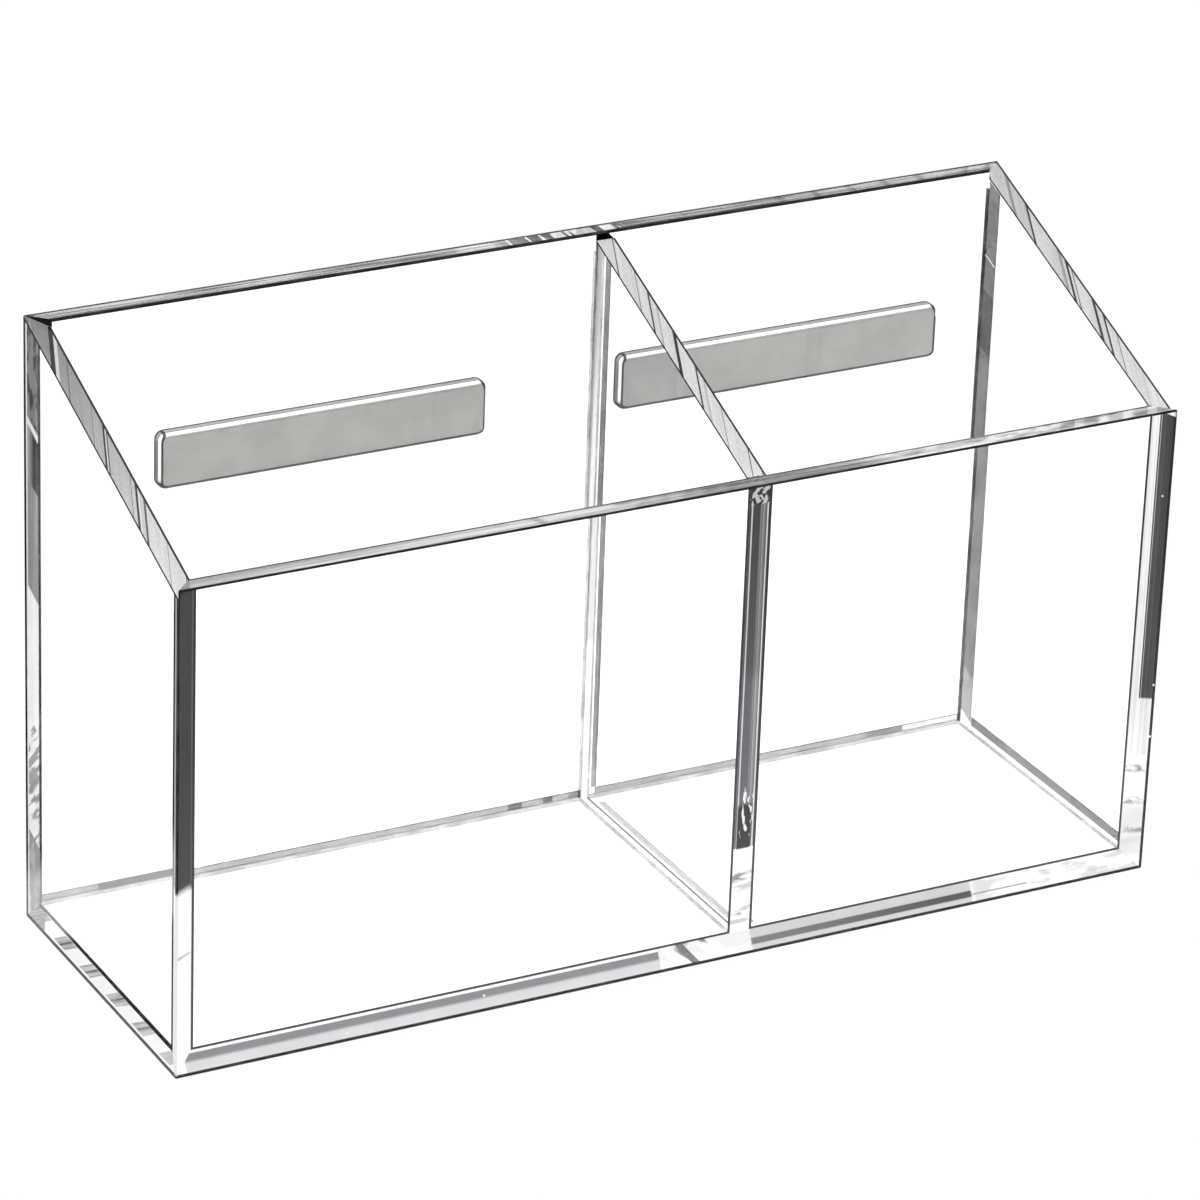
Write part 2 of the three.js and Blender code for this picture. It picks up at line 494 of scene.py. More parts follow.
# %% [markdown]
# The divider is a plain piece with square edges. It stands on the floor between the front and
# the back sheet, and only its slanted top was cut to the line of the sides.

# %% The divider
mesh = blank(
    (divider_left, front_in + JOINT_GAP, floor_top + JOINT_GAP), (divider_right, back_in - JOINT_GAP, top),
)
for f in mesh.faces:
    if abs(f.normal.y) > 0.9 or f.normal.z < -0.9:
        f.material_index = SMEAR if f.normal.y < -0.9 else JOINT
cut(mesh, *planes["slanted rim"], RIM)
for sign, x in ((-1, divider_left), (1, divider_right)):
    ease(mesh, (X * sign, X * x), planes["slanted rim"], SAWN_ARRIS_WIDTHS[0])
divider_sheet = finish_mesh("divider_sheet", mesh)

# %% [markdown]
# Cement squeezes out of a joint and dries as a thin hollow bead in the inner corner.
# Each bead is painted near black, pale or grey by where it lies, as painted shade: the dark line
# on the inside of each corner. A bead is a small three-sided bar with one hollow side, run round
# the floor of each bay and up its corners.

# %% The beads of cement
BEAD = 0.50 * MM
BEAD_CLEAR = 0.006 * MM
BEAD_STEPS = 5
DARK, PALE, MID = range(3)
BEAD_STOPS = {front_in: 0.35 * MM, back_in: 2.0 * MM}
quarter_turn = [math.pi / 2 * i / BEAD_STEPS for i in range(BEAD_STEPS + 1)]
hollow = BEAD - BEAD_CLEAR
bead_profile = [(BEAD_CLEAR, BEAD_CLEAR)]
bead_profile += [(BEAD - hollow * math.cos(t), BEAD - hollow * math.sin(t)) for t in quarter_turn]
BACK_BEADS = {left_in: MID, divider_left: PALE, divider_right: PALE, right_in: MID}
bays = {"left_bay": (left_in, divider_left), "right_bay": (divider_right, right_in)}


def join_rings(mesh, rings, closed, slot_of):
    """Skins a row of rings of points, and closes its two ends unless it runs in a loop."""
    rows = [[mesh.verts.new(p) for p in ring] for ring in rings]
    pairs = zip(rows, rows[1:] + rows[:1] if closed else rows[1:])
    for number, (a, b) in enumerate(pairs):
        for i in range(len(a)):
            j = (i + 1) % len(a)
            f = mesh.faces.new((a[i], a[j], b[j], b[i]))
            f.material_index = slot_of(number)
    if not closed:
        for row in (rows[0], rows[-1]):
            mesh.faces.new(row).material_index = slot_of(0)


def floor_bead(name, west, east):
    mesh = bmesh.new()
    rings = []
    for x, y, sx, sy in (
        (west, front_in, 1, 1), (east, front_in, -1, 1), (east, back_in, -1, -1), (west, back_in, 1, -1),
    ):
        rings.append([(x + sx * a, y + sy * a, floor_top + b) for a, b in bead_profile])
    join_rings(mesh, rings, True, lambda number: (DARK, PALE, PALE, DARK)[number])
    return finish_mesh(name, mesh)


def corner_beads(name, west, east):
    mesh = bmesh.new()
    for x, sx in ((west, 1), (east, -1)):
        for y, sy in ((front_in, 1), (back_in, -1)):
            low = [(x + sx * a, y + sy * b, floor_top + BEAD) for a, b in bead_profile]
            high = [(px, py, rim_height(py) - BEAD_STOPS[y]) for px, py, _ in low]
            slot = BACK_BEADS[x] if y == back_in else DARK
            join_rings(mesh, (low, high), False, lambda number: slot)
    return finish_mesh(name, mesh)


beads = [floor_bead(f"{bay}_floor_bead", *ends) for bay, ends in bays.items()]
beads += [corner_beads(f"{bay}_corner_beads", *ends) for bay, ends in bays.items()]

# %% [markdown]
# The thin cement also creeps over the faces beside a joint and dries as a film.
# Its tone is painted grey to near black, as painted shade: the grey bands with sharp sides along the
# back corners.
# Each band is a very thin strip on the wall, with a wavy free side and a raised lip.

# %% Tools for the films of cement
FILM = 0.03 * MM
FILM_LIP = 0.13 * MM
LIP, BODY = range(2)
random.seed(7)
films = []


def film(name, finish, corner, along, spread, off_wall, first, last, fall=0.0):
    """A strip beside a joint: it runs from corner to corner + along, and covers the wall
    from first to last, counted away from the joint. Its far side has a raised lip.
    fall says how much lower it is cut for each millimetre away from the joint."""
    mesh = bmesh.new()
    steps = max(4, round(along.length / (3 * MM)))
    rings = []
    for i in range(steps + 1):
        wave = random.uniform(-0.03, 0.03) * MM
        base = corner + along * (i / steps) + off_wall * BEAD_CLEAR
        drop = along.normalized() * -fall
        near, far = base + (spread + drop) * first, base + (spread + drop) * (last + wave)
        inner = far - (spread + drop) * FILM_LIP
        rings.append([
            near, inner, far, far + off_wall * FILM * 0.6, inner + off_wall * FILM * 1.6,
            inner - (spread + drop) * FILM_LIP * 0.4 + off_wall * FILM, near + off_wall * FILM,
        ])
    join_rings(mesh, rings, False, lambda number: BODY)
    for f in mesh.faces:
        reach = (f.calc_center_median() - corner).dot(spread)
        if len(f.verts) == 4 and reach > last - FILM_LIP * 1.2:
            f.material_index = LIP
    films.append((finish_mesh(name, mesh), finish))


def stretch(name, parts, corner, along, spread, off_wall, first, last, fall=0.0):
    """Films end to end. parts gives where each one starts, in mm, and its finish."""
    starts = [start * MM for start, _ in parts]
    heading = along.normalized()
    shape = (spread, off_wall, first, last, fall)
    for number, (start, end) in enumerate(zip(starts, starts[1:] + [along.length])):
        label = f"{name}_{number + 1}"
        film(label, parts[number][1], corner + heading * start, heading * (end - start), *shape)


# %% Lay the films
inner_depth = back_in - front_in
corner_height = rim_height(back_in) - floor_top
at_left, at_divider = Vector((left_in, back_in, floor_top)), Vector((divider_right, back_in, floor_top))
at_right = Vector((right_in, back_in, floor_top))
left_parts = [
    (0.4, "faint"), (11.6, "deepest"), (27, "light"), (92.5, "deep"), (95.5, "light"), (100, "deep"),
    (102, "light"), (105.5, "grey"),
]
right_parts = [(1.6, "light"), (59, "grey"), (67, "pale")]
left_low_parts = [(0.4, "pale"), (11.6, "faint"), (27, "pale")]
for name, parts, low_parts, place, width in (
    ("left_bay_back_film", left_parts, left_low_parts, at_left, divider_left - left_in),
    ("right_bay_back_film", right_parts, [(0.4, "pale")], at_divider, right_in - divider_right),
):
    stretch(name, parts, place, X * width, Z, -Y, 0.85 * MM, 2.1 * MM)
    stretch(name + "_low", low_parts, place, X * width, Z, -Y, 0.45 * MM, 0.82 * MM)
right_corner_parts = [
    (3.6, "light"), (13, "grey"), (80, "deep"), (92, "grey"), (98.5, "pale"), (98.9, "grey"),
]
stretch(
    "right_corner_film", right_corner_parts, at_right, Z * (corner_height - 0.3 * MM), -Y, -X, 0.45 * MM,
    4.3 * MM, slope,
)
front_right = Vector((right_in, front_in, floor_top))
along_floor = Y * (inner_depth - 4.5 * MM)
stretch("right_floor_film", [(0.5, "grey")], front_right, along_floor, Z, -X, 1.4 * MM, 3.3 * MM)
stretch(
    "divider_corner_film", [(2.2, "grey")], at_divider, Z * (corner_height - 3.4 * MM), X, -Y,
    0.75 * MM, 1.9 * MM,
)
front_divider = Vector((divider_right, front_in + 1.6 * MM, floor_top))
stretch(
    "divider_floor_film", [(0.5, "soft")], front_divider, Y * (inner_depth - 4.1 * MM), X, Z,
    0.95 * MM, 2.4 * MM,
)
print(len(films), "films")

# %% [markdown]
# A last drop of cement dried in the gap between the divider's top and the rim of the back.
# Its near-black tone is painted shade, for the small black corner over the divider.

# %% The drop over the divider
DROP_THICK = 0.30 * MM
drop_low, drop_high = rim_height(back_in) + 0.05 * MM, back_height - 0.35 * MM
mesh = bmesh.new()
rings = []
for out, inset in ((BEAD_CLEAR, 0.0), (0.6 * DROP_THICK, 0.0), (DROP_THICK, 0.18 * MM)):
    ring = []
    for x, z in (
        (divider_left + inset, drop_low + inset), (divider_right - 0.4 * MM - inset, drop_low + inset),
        (divider_right - 1.5 * MM - inset, drop_high - inset), (divider_left + inset, drop_high - inset),
    ):
        ring.append((x, back_in - out, z))
    rings.append(ring)
join_rings(mesh, rings, False, lambda number: DARK)
beads.append(finish_mesh("divider_cement_drop", mesh))

# %% [markdown]
# A bar magnet is pressed from powder, tumbled until its edges are round, and plated.
# Its outline is a rectangle with round corners, and its edges are round too. The bar is built
# from rings of that outline, drawn in as they go round the edge, so the round is smooth.

# %% Rings of a rounded rectangle
CORNER_STEPS = 12


def outline(length, height, radius):
    """Points of a rectangle with round corners, in its own plane."""
    points = []
    for quarter, (sx, sz) in enumerate(((1, 1), (-1, 1), (-1, -1), (1, -1))):
        for i in range(CORNER_STEPS + 1):
            angle = math.pi / 2 * (quarter + i / CORNER_STEPS)
            points.append((
                sx * (length / 2 - radius) + radius * math.cos(angle),
                sz * (height / 2 - radius) + radius * math.sin(angle),
            ))
    return points


def pressed_bar(name, low, high, corner, rings, smooth=True):
    """rings are pairs: how far the outline is drawn in, and how deep it lies from low.y."""
    mesh = bmesh.new()
    middle = (low + high) / 2
    length, height = high.x - low.x, high.z - low.z
    rows = []
    for inset, depth in rings:
        flat = outline(length - 2 * inset, height - 2 * inset, max(corner - inset, 0.2 * MM))
        rows.append([(middle.x + a, low.y + depth, middle.z + b) for a, b in flat])
    join_rings(mesh, rows, False, lambda number: 0)
    for f in mesh.faces:
        f.smooth = smooth
    return finish_mesh(name, mesh)


# %% The magnets
MAGNET_CORNER = 1.7 * MM
MAGNET_EDGE = 0.9 * MM
EDGE_STEPS = 8


def magnet_rings(thickness):
    turns = [math.pi / 2 * i / EDGE_STEPS for i in range(EDGE_STEPS + 1)]
    first = [(MAGNET_EDGE * (1 - math.sin(t)), MAGNET_EDGE * (1 - math.cos(t))) for t in turns]
    last = [(inset, thickness - depth) for inset, depth in reversed(first)]
    flat = MAGNET_EDGE + 0.12 * MM
    return [(flat, 0.0)] + first + last + [(flat, thickness)]


magnets = []
for side in ("left", "right"):
    low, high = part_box(f"magnet_{side}")
    rings = magnet_rings(high.y - low.y)
    magnets.append(pressed_bar(f"{side}_magnet_bar", low, high, MAGNET_CORNER, rings))

# %% [markdown]
# Each magnet is held by a pad of clear gel tape. The tape is soft, so it touches the sheet and
# the magnet all over and its cut edge bulges out a little between them.

# %% The gel pads
PAD_CORNER = 1.4 * MM
PAD_BULGE = 0.18 * MM
PAD_STEPS = 8
pads = []
for side in ("left", "right"):
    low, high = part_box(f"magnet_adhesive_{side}")
    low.y = back_out + 0.01 * MM
    high.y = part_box(f"magnet_{side}")[0].y - 0.01 * MM
    thickness = high.y - low.y
    steps = [i / PAD_STEPS for i in range(PAD_STEPS + 1)]
    bulge = [(PAD_BULGE * (1 - math.sin(math.pi * step)), thickness * step) for step in steps]
    pads.append(pressed_bar(f"{side}_gel_pad", low, high, PAD_CORNER, bulge, smooth=False))

# %% [markdown]
# Small signs of use and of making are shared by the materials, so each is a group of nodes:
# scuffs gives hair-thin scratches and dust, flecks gives the bubbles and starved patches
# of a cemented joint, and mottle gives the cloudy look of plated metal.

# %% Tools for the groups


def group(name, outputs, amount=None):
    """A group that is given a place, and an amount of some kind if the amount has a name."""
    made = bpy.data.node_groups.new(name, "ShaderNodeTree")
    made.interface.new_socket("Place", in_out="INPUT", socket_type="NodeSocketVector")
    if amount:
        made.interface.new_socket(amount, in_out="INPUT", socket_type="NodeSocketFloat").default_value = 0.5
    for label in outputs:
        made.interface.new_socket(label, in_out="OUTPUT", socket_type="NodeSocketFloat")
    return made, made.nodes.new("NodeGroupInput").outputs, made.nodes.new("NodeGroupOutput")


def specks(place, scale, core, rim):
    """Round specks in random places, and three random numbers for each of them."""
    cells = node(tree_of(place), "TexVoronoi", {"Vector": place, "Scale": scale})
    luck = node(tree_of(place), "SeparateColor", {0: cells.outputs["Color"]})
    return inverse(between(cells.outputs["Distance"], core, rim)), luck.outputs


# %% Scuffs and dust
HAIR = (0.4 * MM, 60 * MM, 60 * MM)
scuffs, given, end = group("scuffs", ("Scratch", "Dust"), "Amount")
hairs = []
for tilt in (0.35, -1.1):
    wires = {0: given["Place"], "Rotation": (tilt, tilt * 0.7, tilt), "Scale": HAIR}
    turned = node(scuffs, "Mapping", wires, vector_type="TEXTURE").outputs[0]
    hairs.append(between(noise_on(turned, 1.0, 0.0), 0.74, 0.78))
speck, luck = specks(given["Place"], 420.0, 0.03, 0.07)
dust = times(speck, calculate("GREATER_THAN", luck[0], 0.965), given["Amount"])
feed(end, Scratch=times(either(*hairs), given["Amount"]), Dust=dust)

# %% Flecks in the cement
flecks, given, end = group("flecks", ("Bubble", "Haze"), "Bubbles")
speck, luck = specks(given["Place"], 900.0, 0.18, 0.26)
kept = calculate("GREATER_THAN", given["Bubbles"], luck[1])
feed(end, Bubble=times(speck, kept), Haze=noise_on(given["Place"], 160.0, 3.0))

# %% Mottle of the plating
mottle, given, end = group("mottle", ("Cloud", "Peel", "Pit"))
speck, luck = specks(given["Place"], 600.0, 0.05, 0.16)
pit = times(speck, calculate("GREATER_THAN", luck[0], 0.99))
peel = noise_on(given["Place"], 320.0, 1.0)
feed(end, Cloud=noise_on(given["Place"], 130.0, 6.0, 0.7), Peel=peel, Pit=pit)
print("groups", sorted(g.name for g in bpy.data.node_groups))

# %% [markdown]
# Acrylic bends light less than window glass: its index is 1.49. Cast sheet has no colour of its
# own, so the base colour stays near white. Soft light has to reach the paper under the case,
# so the material steps aside for shadow rays and for light that the paper gathers.

# %% Clear materials
ACRYLIC_IOR = 1.49


def grouped(shared, **values):
    """Puts a shared group into the material that its values belong to."""
    made = node(tree_of(*values.values()), "Group", node_tree=shared)
    feed(made, **values)
    return made.outputs


def let_soft_light_through(shader):
    tree = shader.id_data
    path = node(tree, "LightPath")
    soft = either(path.outputs["Is Shadow Ray"], path.outputs["Is Diffuse Ray"])
    passing = node(tree, "BsdfTransparent")
    surface = node(tree, "MixShader", {0: soft, 1: shader.outputs[0], 2: passing.outputs[0]})
    tree.links.new(surface.outputs[0], tree.nodes["Material Output"].inputs[0])


def clear(name, ior=ACRYLIC_IOR, transmission=1.0, roughness=0.0):
    made, tree, shader = material(name)
    feed(shader, Transmission_Weight=transmission, IOR=ior, Roughness=roughness)
    let_soft_light_through(shader)
    return made, tree, shader


# %% The face of a sheet
sheet_face, tree, shader = clear("clear_acrylic")
wear = grouped(scuffs, Place=place_on(tree), Amount=0.55)
bump = node(tree, "Bump", {"Height": wear["Scratch"], "Strength": 0.02, "Distance": 0.00002})
dusty = blend(wear["Dust"], (0.988, 0.988, 0.99), 0.55)
feed(shader, Base_Color=dusty, Roughness=times(wear["Scratch"], 0.05), Normal=bump.outputs[0])

# %% [markdown]
# Marks on the rims and in the joints are drawn by masks, which are 1 where the mark lies and
# 0 elsewhere. They are made from places on the object, so they stay with it.

# %% Masks that follow the object
RIM_LINE = 0.32 * MM


def window(value, low, high, soft=0.1 * MM):
    """1 between low and high, 0 outside, with soft ends."""
    return times(between(value, low - soft, low + soft), between(value, high + soft, high - soft))


def streaked(spot, scale, low, high):
    """A mask of noise that is stretched by its scale, as a brush leaves it."""
    stretched = node(tree_of(spot), "Mapping", {0: spot, "Scale": scale}).outputs[0]
    return between(noise_on(stretched, 1.0, 2.0), low, high)


def line_at(value, edge, arris, wide=RIM_LINE):
    """A painted shade: the dark line on a rim along its far edge."""
    return window(value, edge - arris - wide, edge, 0.05 * MM)


# %% [markdown]
# The rims of the front and the back were flame polished. Long grey lines run along them, with
# bars and blotches where the flame stood still. A dark line along their far edge is painted shade.

# %% The straight rims
polished_rim, tree, shader = clear("polished_rim", transmission=0.5)
spot = place_on(tree)
x, y, _ = parts_of(spot)
lines = streaked(spot, (35, 1100, 1100), 0.35, 0.7)
blotches = streaked(spot, (160, 500, 500), 0.40, 0.55)
bars = streaked(spot, (420, 20, 20), 0.49, 0.53)
on_front = between(y, 0.0, -1 * MM)
on_back = inverse(on_front)
front_middle = times(on_front, window(x, 0.0, 36 * MM, 5 * MM))
back_middle = times(on_back, window(x, -6 * MM, 18 * MM, 5 * MM))
right_bay = window(x, 40 * MM, 110 * MM, 5 * MM)
quiet = mixed(times(on_front, right_bay), times(lines, 0.7), blotches)
tone = mixed(back_middle, quiet, bars)
tone = mixed(front_middle, tone, lines)
deepest = blend(on_front, (0.05, 0.05, 0.052), (0.44, 0.44, 0.46))
deepest = blend(front_middle, deepest, (0.13, 0.13, 0.132))
lightest = blend(front_middle, (0.95, 0.95, 0.96), (0.46, 0.46, 0.47))
front_corner = times(on_front, between(x, -72 * MM, -90 * MM))
lightest = blend(front_corner, lightest, (0.52, 0.52, 0.53))
rim_tone = blend(tone, deepest, lightest)
# Painted shade: a dark line along the far edge of each straight rim.
painted_edge_lines = either(
    line_at(y, back_out, RIM_ARRIS_WIDTHS["back"][0], 0.6 * MM),
    times(line_at(y, front_in, RIM_ARRIS_WIDTHS["front"][1], 0.45 * MM), 0.95),
)
feed(shader, Base_Color=blend(painted_edge_lines, rim_tone, 0.02), Roughness=0.06, Specular_IOR_Level=0.1)

# %% [markdown]
# The slanted rims were cut with a hand-fed blade. Each push of the hand leaves one thin dark
# stroke that runs across the rim at a flat angle, and the plastic between is clean and satin.

# %% The slanted rims
PUSH = 8.8 * MM
LEAN = 2.825
STROKE = 0.05
# Where the strokes lie that show most, and half the width of each, in mm.
BOLD_STROKES = (
    (299.8, 1.0), (276.5, 0.4), (262.4, 0.5), (-30.3, 0.4), (-40.8, 0.8), (-49.3, 0.4), (-276.8, 0.6),
    (-290.8, 0.5),
)
sawn_rim, tree, shader = clear("sawn_rim", transmission=0.3)
spot = place_on(tree)
x, y, _ = parts_of(spot)
travel = minus(y, times(x, LEAN))
wobble = node(tree, "TexNoise", {"W": travel, "Scale": 0.6 / PUSH, "Detail": 2.0}, noise_dimensions="1D")
uneven = times(wobble.outputs[0], 1.6 * PUSH)
turns = calculate("DIVIDE", plus(travel, uneven), PUSH)
phase = calculate("FRACT", turns)
number = calculate("FLOOR", turns)
luck = node(tree, "TexWhiteNoise", {"W": number}, noise_dimensions="1D").outputs[0]
pressed = node(tree, "TexWhiteNoise", {"W": plus(number, 0.5)}, noise_dimensions="1D").outputs[0]
broad = times(STROKE, plus(0.7, times(calculate("POWER", luck, 3.0), 4.0)))
stroke = between(phase, times(broad, 1.4), broad)
stroke = times(stroke, plus(0.35, times(pressed, 0.65)))
trail = rescaled(phase, 0.0, 0.9, 0.90, 1.0)
teeth = node(
    tree, "TexNoise", {"W": times(turns, 11.0), "Scale": 1.0, "Detail": 3.0}, noise_dimensions="1D",
)
combed = rescaled(teeth.outputs[0], 0.3, 0.7, 0.88, 1.05)
frosted = rescaled(noise_on(spot, 2600.0, 1.0), 0.3, 0.7, 0.85, 1.06)
# Painted shade: the rims of the side sheets grow darker towards the back, the left one most.
rise = rescaled(y, front_out, back_out)
painted_shade_left = rescaled(x, 0.0, left_out, 0.0, 0.75)
painted_shade_right = rescaled(x, 40 * MM, right_out, 0.0, 0.22)
painted_shade_factor = inverse(times(rise, either(painted_shade_left, painted_shade_right)))


def bars_at(first, last):
    """A bar on each bold stroke, from first to last half widths beside its middle."""
    return either(*(
        window(travel, (place + first * wide) * MM, (place + last * wide) * MM, 0.2 * MM)
        for place, wide in BOLD_STROKES
    ))


bold, paler = bars_at(-1, 1), bars_at(-3, -1.2)
shade = times(trail, combed, frosted, painted_shade_factor, inverse(stroke))
shade = minus(either(shade, times(paler, 0.88)), bold, clamp=True)
rim_tone = blend(shade, (0.02, 0.02, 0.022), (0.97, 0.97, 0.98))
# Painted shade: a dark line along the far edge of each slanted rim.
painted_edge_lines = either(
    *(line_at(x, edge, SAWN_ARRIS_WIDTHS[0]) for edge in (left_in, divider_right, right_out))
)
feed(shader, Base_Color=blend(painted_edge_lines, rim_tone, 0.01), Roughness=0.25, Specular_IOR_Level=0.1)

# %% [markdown]
# The eased edges are painted nearly black with a little grain, in a matt finish: a painted shade
# that draws a dark line round every sheet. Only the low part of the left front edge is painted
# white, as a painted highlight.

# %% The eased edges
WHITE_LINE_HEIGHT = 36.5 * MM
eased_edge, tree, shader = material("eased_edge")
spot = place_on(tree)
x, y, z = parts_of(spot)
# Painted shade: the eased edges are painted nearly black, with a little grain.
painted_dark_edge = blend(between(noise_on(spot, 220.0, 2.0), 0.4, 0.75), 0.006, 0.035)
# Painted highlight: a white strip on the low part of the left front edge.
painted_highlight_corner = times(
    between(x, left_out + 1.0 * MM, left_out + 0.9 * MM),
    between(y, front_out + 1.0 * MM, front_out + 0.9 * MM),
    window(z, 1.0 * MM, WHITE_LINE_HEIGHT, 0.5 * MM),
)
feed(shader, Base_Color=blend(painted_highlight_corner, painted_dark_edge, 0.8), Roughness=0.5, Specular_IOR_Level=0.1)
let_soft_light_through(shader)

# %% [markdown]
# A good joint can't be seen, so its faces are almost fully transparent. Each joint gets a list of
# layers, laid one over another: partly cement that dried cloudy, grey or black, and partly painted
# shade and painted light for the dark and bright bands that refraction puts in the joints.

# %% The cemented faces
# The greys of cement have this much more blue than red.
COOLER = 1.02


def cemented(name, layers_of=None, bubbles=0.012):
    """A joint that light passes, but for its bubbles and its painted layers: dried cement, painted shade
    and painted light.
    A layer is a mask, a tone and how well it covers. A later layer lies over the earlier ones."""
    made, tree, shader = material(name)
    spot = place_on(tree)
    marks = grouped(flecks, Place=spot, Bubbles=bubbles)
    tone, cover = 0.9, marks["Bubble"]
    if layers_of:
        for mask, grey, thickness in layers_of(*parts_of(spot), spot):
            tone = blend(mask, tone, (grey, grey, grey * COOLER) if isinstance(grey, float) else grey)
            cover = mixed(mask, cover, thickness)
    cloudy = blend(between(marks["Haze"], 0.3, 0.7), 0.94, 1.0)
    wires = {0: 1.0, 6: colour(tone), 7: cloudy}
    mottled = node(tree, "Mix", wires, data_type="RGBA", blend_type="MULTIPLY")
    feed(shader, Base_Color=mottled.outputs[2], Alpha=cover, Roughness=0.6, Specular_IOR_Level=0.0)
    let_soft_light_through(shader)
    return made


# %% [markdown]
# Under the front sheet the joint is painted with a long grey core between two pale bands, partly
# as dried cement and partly as painted shade. Near the divider the core breaks off in slanting
# strokes, and to the right it thins out in patches. A black line along its outer corner is painted
# shade.

# %% The joint under the front sheet
foot = floor_under
left_core_end = divider_left - 15 * MM
right_core_end = right_in - 33 * MM


def front_foot_layers(x, y, z, spot):
    left = window(x, left_in - 1.5 * MM, left_core_end)
    right = window(x, divider_right, right_core_end, 0.3 * MM)
    gap = window(x, left_core_end, divider_right)
    far = between(x, right_core_end, right_core_end + 1 * MM)
    high_core = times(
        between(z, foot + 2.0 * MM, foot + 2.6 * MM), between(z, foot + 3.62 * MM, foot + 3.5 * MM),
    )
    low_core = window(z, foot + 1.5 * MM, foot + 2.55 * MM, 0.12 * MM)
    deepening = between(x, divider_right, right_core_end)
    core_tone = blend(deepening, (0.16, 0.16, 0.165), 0.045)
    strokes = streaked(point_of(plus(x, times(z, 0.9)), 0.0, z), (330, 0, 90), 0.55, 0.62)
    patches = streaked(spot, (130, 0, 500), 0.52, 0.62)
    tail = times(
        window(z, foot + 1.75 * MM, foot + 1.95 * MM, 0.1 * MM),
        window(x, right_core_end, right_core_end + 12 * MM),
    )
    return [
        (left, 0.62, 0.9),
        (times(left, between(z, foot + 3.5 * MM, foot + 3.6 * MM)), 0.95, 0.95),
        (times(left, high_core), (0.21, 0.21, 0.225), 0.95),
        (right, 0.56, 0.9),
        (times(right, low_core), core_tone, 0.97),
        (times(gap, strokes), 0.06, 0.85),
        (far, 0.97, 0.9),
        (times(far, patches), 0.70, 0.9),
        (tail, 0.15, 0.8),
        (between(z, foot + 0.74 * MM, foot + 0.69 * MM), 0.004, 0.98),
    ]


front_foot_joint = cemented("front_foot_joint", front_foot_layers, 0.02)

# %% [markdown]
# The two upright joints in front are painted nearly black over the upper part of their height, as
# painted shade for the dark corner posts. In the lower third they are painted white, as painted
# light, with a few grey smudges. Black lines along their corners are painted shade too.

# %% The upright joints in front


def left_front_layers(x, y, z, spot):
    high = between(z, WHITE_LINE_HEIGHT - 1 * MM, WHITE_LINE_HEIGHT + 1 * MM)
    inner = between(y, front_in - 0.45 * MM, front_in - 0.4 * MM)
    fibres = streaked(spot, (2500, 2500, 12), 0.3, 0.7)
    dark = blend(fibres, (0.020, 0.020, 0.022), (0.038, 0.038, 0.041))
    scratched = streaked(spot, (60, 60, 700), 0.30, 0.34)
    painted_white = blend(scratched, 0.50, 0.95)
    low = inverse(high)
    return [(low, painted_white, 0.9), (high, dark, 0.96), (times(high, inner), 0.10, 0.95)]


def left_edge_layers(x, y, z, spot):
    depth = minus(x, left_out)
    high = between(z, WHITE_LINE_HEIGHT - 1 * MM, WHITE_LINE_HEIGHT + 1 * MM)
    return [
        (window(depth, 0.0, 3.3 * MM), 0.9, 0.95),
        (times(high, window(depth, 0.0, 3.3 * MM)), 0.42, 0.95),
        (between(depth, 3.3 * MM, 3.4 * MM), 0.006, 0.98),
    ]


def right_front_layers(x, y, z, spot):
    high = between(z, WHITE_LINE_HEIGHT - 1 * MM, WHITE_LINE_HEIGHT - 0.5 * MM)
    foot_end = between(z, foot + 24 * MM, foot + 24.5 * MM)
    fibres = streaked(spot, (2500, 2500, 12), 0.3, 0.7)
    dark = blend(fibres, (0.035, 0.035, 0.038), (0.065, 0.065, 0.069))
    pale = blend(fibres, 0.75, 0.97)
    low = inverse(foot_end)
    smudged = either(
        *(window(z, foot + at * MM, foot + (at + 1.3) * MM, 0.5 * MM) for at in (20.5, 13.8, 7.6))
    )
    smudged = times(smudged, streaked(spot, (420, 420, 700), 0.40, 0.60))
    outer = between(y, front_out + 2.5 * MM, front_out + 2.4 * MM)
    return [
        (low, 0.97, 0.9),
        (window(z, foot + 3 * MM, foot + 13 * MM, 1 * MM), 0.80, 0.9),
        (smudged, 0.25, 0.9),
        (foot_end, pale, 0.9),
        (times(high, outer), dark, 0.96),
        (times(high, window(y, front_out + 2.5 * MM, front_out + 2.75 * MM, 0.05 * MM)), 0.02, 0.9),
        (between(y, front_out + 0.62 * MM, front_out + 0.57 * MM), 0.004, 0.98),
    ]


left_front_joint = cemented("left_front_joint", left_front_layers, 0.02)
left_edge_joint = cemented("left_edge_joint", left_edge_layers, 0.02)
right_front_joint = cemented("right_front_joint", right_front_layers, 0.02)

# %% [markdown]
# In front of the divider the joint is painted nearly black above its lower part, darker towards the
# top: painted shade for the dark edge of the divider. Over it the cement stands as dark and grey
# fibres. It cracked under the rim, and low down it boiled into a black pool with white froth. Its
# foot is painted pale, as painted light, and smudged.

# %% The joint in front of the divider
BOIL_LOW, BOIL_HIGH = 21 * MM, 33 * MM
CRACKED_TOP = 5 * MM


